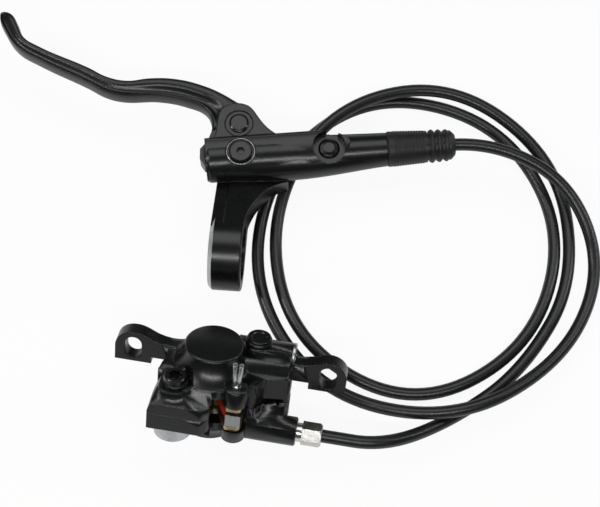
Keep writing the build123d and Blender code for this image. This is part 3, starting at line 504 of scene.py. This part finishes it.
def trimmed_casting(name, node, cuts):
    """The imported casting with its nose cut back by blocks, with soft shading over the cast faces."""
    mesh = bmesh.new()
    mesh.from_mesh(bpy.data.objects[node].data)
    bmesh.ops.remove_doubles(mesh, verts=mesh.verts, dist=2e-6)
    data = bpy.data.meshes.new(name)
    mesh.to_mesh(data)
    mesh.free()
    piece = bpy.data.objects.new(name, data)
    bpy.context.scene.collection.objects.link(piece)
    blocks = [trim_block(*cut) for cut in cuts]
    for block in blocks:
        cut = piece.modifiers.new("nose_cut", "BOOLEAN")
        cut.operation = "DIFFERENCE"
        cut.solver = "EXACT"
        cut.object = block
    bpy.context.view_layer.update()
    finished = bpy.data.meshes.new_from_object(piece.evaluated_get(bpy.context.evaluated_depsgraph_get()))
    piece.modifiers.clear()
    piece.data = finished
    for block in blocks:
        bpy.data.objects.remove(block)
    for face in finished.polygons:
        face.use_smooth = True
    finished.set_sharp_from_angle(angle=cast_crease)
    finished.materials.clear()
    finished.materials.append(casting_paint)
    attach(piece, "brake_body")
    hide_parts(node)


along_ears = (1, 0, 0)
along_axle = (0, 1, 0)
nose_front = -22.8
nose_side = -19.9
nose_middle = -19.5
front_cut = ((-10, nose_front, 0), (0, -1, 0), along_ears, 27.0, 40.0)
side_cut = ((nose_side, nose_middle, 0), (-1, 0, 0), along_axle, 21.0, 40.0)
shoulder_cut = ((-18.4, nose_middle, 5.75), (-0.944, 0, 0.329), along_axle, 21.0, 22.0)
chin_cut = ((-12.5, -21.0, -8.6), (-0.19, -0.69, -0.7), along_ears, 26.0, 14.0)
cheek_cut = ((1.0, -21.5, -6.6), (0.55, -0.45, -0.7), along_axle, 12.0, 9.0)
trimmed_casting("outer_casting", "caliper_outer_half", [front_cut, side_cut, shoulder_cut])
trimmed_casting("inner_casting", "caliper_inner_half", [front_cut, side_cut, chin_cut, cheek_cut])

# Lever blade: forged aluminium, tumbled smooth and anodised black. Its top is flat along the
# far edge and dished along the middle, with a narrow raised rim on the near side. A skin runs
# from the curled tip to the ears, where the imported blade's arm and hub carry on.
anodised_blade = satin_black("black anodised forging", "090a0b", "101112", rough=(0.26, 0.34),
                             grain_mm=0.25, grain_depth=0.01, edge_mm=0.3)
dress("lever_blade", anodised_blade)
blade_far = ((-96.0, 105.4), (-92.2, 103.4), (-89.6, 98.8), (-86.4, 92.3), (-79.9, 88.0), (-58.8, 78.2),
             (-50.8, 73.9), (-42.5, 72.2), (-33.1, 73.5), (-23.4, 73.2), (-12.9, 70.6), (-2.3, 65.6),
             (5.2, 60.4))
blade_near = ((-98.0, 104.4), (-97.5, 101.0), (-95.4, 96.4), (-89.2, 87.3), (-80.2, 81.6), (-59.0, 70.8),
              (-52.2, 66.9), (-45.0, 64.9), (-29.7, 64.8), (-18.2, 62.3), (-10.8, 58.7), (-8.3, 54.1),
              (-7.8, 49.6))
blade_low = 15.2
blade_high = 22.8
blade_middle = (blade_low + blade_high) / 2
blade_sections = 78
tip_sections = 5.0
tip_blunt = 0.15
root_sections = 4.0
dish_start = 0.6
dish_run = 0.38
dish_extra = 0.9
dish_near_side = 0.85
dish_far_side = 0.45
blade_top = 0.8

# The blade's section: each point's share of the way to the near edge, and of the height.
crown_profile = ((0.01, 0.10), (0.0, 0.30), (0.0, 0.60), (0.03, 0.85), (0.08, 0.96), (0.14, 1.0),
                 (0.28, 1.0), (0.42, 0.985), (0.50, 0.93), (0.60, 0.865), (0.70, 0.83), (0.78, 0.84),
                 (0.83, 0.90), (0.87, 0.975), (0.90, 0.985), (0.94, 0.94), (0.98, 0.82), (1.0, 0.60),
                 (1.0, 0.28), (0.98, 0.10), (0.92, 0.0), (0.08, 0.0))


def even_points(corners, count):
    """Evenly spaced points on a smooth curve through a list of corners."""
    curve = bpy.data.curves.new("edge_line", "CURVE")
    curve.dimensions = "3D"
    line = curve.splines.new("BEZIER")
    line.bezier_points.add(len(corners) - 1)
    for point, (x, y) in zip(line.bezier_points, corners):
        point.co = (x, y, 0)
        point.handle_left_type = "AUTO"
        point.handle_right_type = "AUTO"
    line.resolution_u = 24
    holder = bpy.data.objects.new("edge_line", curve)
    bpy.context.scene.collection.objects.link(holder)
    bpy.context.view_layer.update()
    traced = holder.to_mesh()
    dense = [vertex.co.copy() for vertex in traced.vertices]
    holder.to_mesh_clear()
    bpy.data.objects.remove(holder)
    steps = [0.0]
    for before, after in zip(dense, dense[1:]):
        steps.append(steps[-1] + (after - before).length)
    found = []
    at = 0
    for i in range(count):
        goal = steps[-1] * i / (count - 1)
        while at < len(steps) - 2 and steps[at + 1] < goal:
            at += 1
        share = (goal - steps[at]) / max(steps[at + 1] - steps[at], 1e-9)
        found.append(dense[at].lerp(dense[at + 1], share))
    return found


blade_mesh = bmesh.new()
around = len(crown_profile)
bmesh.ops.create_grid(blade_mesh, x_segments=around, y_segments=blade_sections - 1, size=1.0)
blade_mesh.verts.ensure_lookup_table()
far_line = even_points(blade_far, blade_sections)
near_line = even_points(blade_near, blade_sections)
for i, (far, near) in enumerate(zip(far_line, near_line)):
    tip_round = math.sqrt(1.0 - max(0.0, 1.0 - (i + tip_blunt) / tip_sections) ** 2)
    root_share = max(0.0, (i + 1 - blade_sections + root_sections) / root_sections)
    dish_share = min(1.0, max(0.0, (i / blade_sections - dish_start) / dish_run))
    dish = 1.0 + dish_extra * max(0.0, math.sin(math.pi * dish_share))
    for j in range(around + 1):
        w, h = crown_profile[j % around]
        drop = 1.0 - h
        if h > blade_top:
            drop *= 1.0 - root_share
            if dish_far_side < w < dish_near_side:
                drop *= dish
        z = blade_middle + (blade_high - blade_low) * (0.5 - drop) * tip_round
        place = far.lerp(near, 0.5 + (w - 0.5) * tip_round)
        blade_mesh.verts[i * (around + 1) + j].co = on_lever(place.x, place.y, z)
bmesh.ops.remove_doubles(blade_mesh, verts=blade_mesh.verts, dist=1e-7)
bmesh.ops.holes_fill(blade_mesh, edges=[edge for edge in blade_mesh.edges if edge.is_boundary], sides=0)
bmesh.ops.recalc_face_normals(blade_mesh, faces=blade_mesh.faces)

arm_mesh = bmesh.new()
arm_mesh.from_mesh(bpy.data.objects["lever_blade"].data)
bmesh.ops.remove_doubles(arm_mesh, verts=arm_mesh.verts, dist=2e-6)
arm_start = on_lever(*blade_near[-1], 0)
arm_across = on_lever(*blade_far[-1], 0) - arm_start
towards_tip = Vector((-arm_across.y, arm_across.x, 0))
cut = bmesh.ops.bisect_plane(arm_mesh, geom=arm_mesh.verts[:] + arm_mesh.edges[:] + arm_mesh.faces[:],
                             dist=1e-6, plane_co=arm_start, plane_no=towards_tip, clear_outer=True)
rim = [part for part in cut["geom_cut"] if isinstance(part, bmesh.types.BMEdge)]
bmesh.ops.triangle_fill(arm_mesh, use_beauty=True, use_dissolve=False, edges=rim)
bmesh.ops.recalc_face_normals(arm_mesh, faces=arm_mesh.faces)

skin_crease = math.radians(60.0)
arm_crease = math.radians(38.0)
for name, mesh, crease in (("blade_skin", blade_mesh, skin_crease), ("blade_arm", arm_mesh, arm_crease)):
    data = bpy.data.meshes.new(name)
    mesh.to_mesh(data)
    mesh.free()
    for face in data.polygons:
        face.use_smooth = True
    data.set_sharp_from_angle(angle=crease)
    piece = bpy.data.objects.new(name, data)
    bpy.context.scene.collection.objects.link(piece)
    data.materials.append(anodised_blade)
    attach(piece, "lever")
    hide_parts("lever_blade")

# Split pin through both pads: half round zinc plated wire folded double, pushed through the
# bosses, with its two ends bent apart above the outer one.
pin_place = on_caliper(11.4, -15.6, 0)
leg_length = 9.4
leg_foot = 14.2
leg_lean = math.radians(3.5)
leg_aside = 0.62
leg_foot_radius = 1.1
leg_flat = (1.25, 0.9, 1.0)
wire_radius = 1.0
shank_length = 28.0
shank_middle = 1.4
collar_low_radius = 1.9
collar_high_radius = 1.5
collar_height = 0.9
collar_middle = 14.05
pin_edge = 0.2
pin_mesh = bmesh.new()
for side in (1, -1):
    leg = bmesh.ops.create_cone(pin_mesh, cap_ends=True, segments=20, radius1=leg_foot_radius * MM,
                                radius2=wire_radius * MM, depth=leg_length * MM)
    bmesh.ops.translate(pin_mesh, verts=leg["verts"], vec=(0, 0, leg_length / 2 * MM))
    bmesh.ops.scale(pin_mesh, verts=leg["verts"], vec=leg_flat)
    bmesh.ops.rotate(pin_mesh, verts=leg["verts"], cent=(0, 0, 0),
                     matrix=Matrix.Rotation(-side * leg_lean, 3, "X"))
    bmesh.ops.translate(pin_mesh, verts=leg["verts"], vec=(0, side * leg_aside * MM, leg_foot * MM))
shank = bmesh.ops.create_cone(pin_mesh, cap_ends=True, segments=24, radius1=wire_radius * MM,
                              radius2=wire_radius * MM, depth=shank_length * MM)
bmesh.ops.translate(pin_mesh, verts=shank["verts"], vec=(0, 0, shank_middle * MM))
collar = bmesh.ops.create_cone(pin_mesh, cap_ends=True, segments=32, radius1=collar_low_radius * MM,
                               radius2=collar_high_radius * MM, depth=collar_height * MM)
bmesh.ops.translate(pin_mesh, verts=collar["verts"], vec=(0, 0, collar_middle * MM))
bmesh.ops.bevel(pin_mesh, geom=[edge for edge in pin_mesh.edges if edge.calc_face_angle(0.0) > 1.0],
                offset=pin_edge * MM, segments=2, profile=0.5, affect="EDGES", material=-1)
pin = placed_piece("pad_retaining_pin", pin_mesh, pin_place, caliper_out, 0.0, zinc)
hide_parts("split_pin")
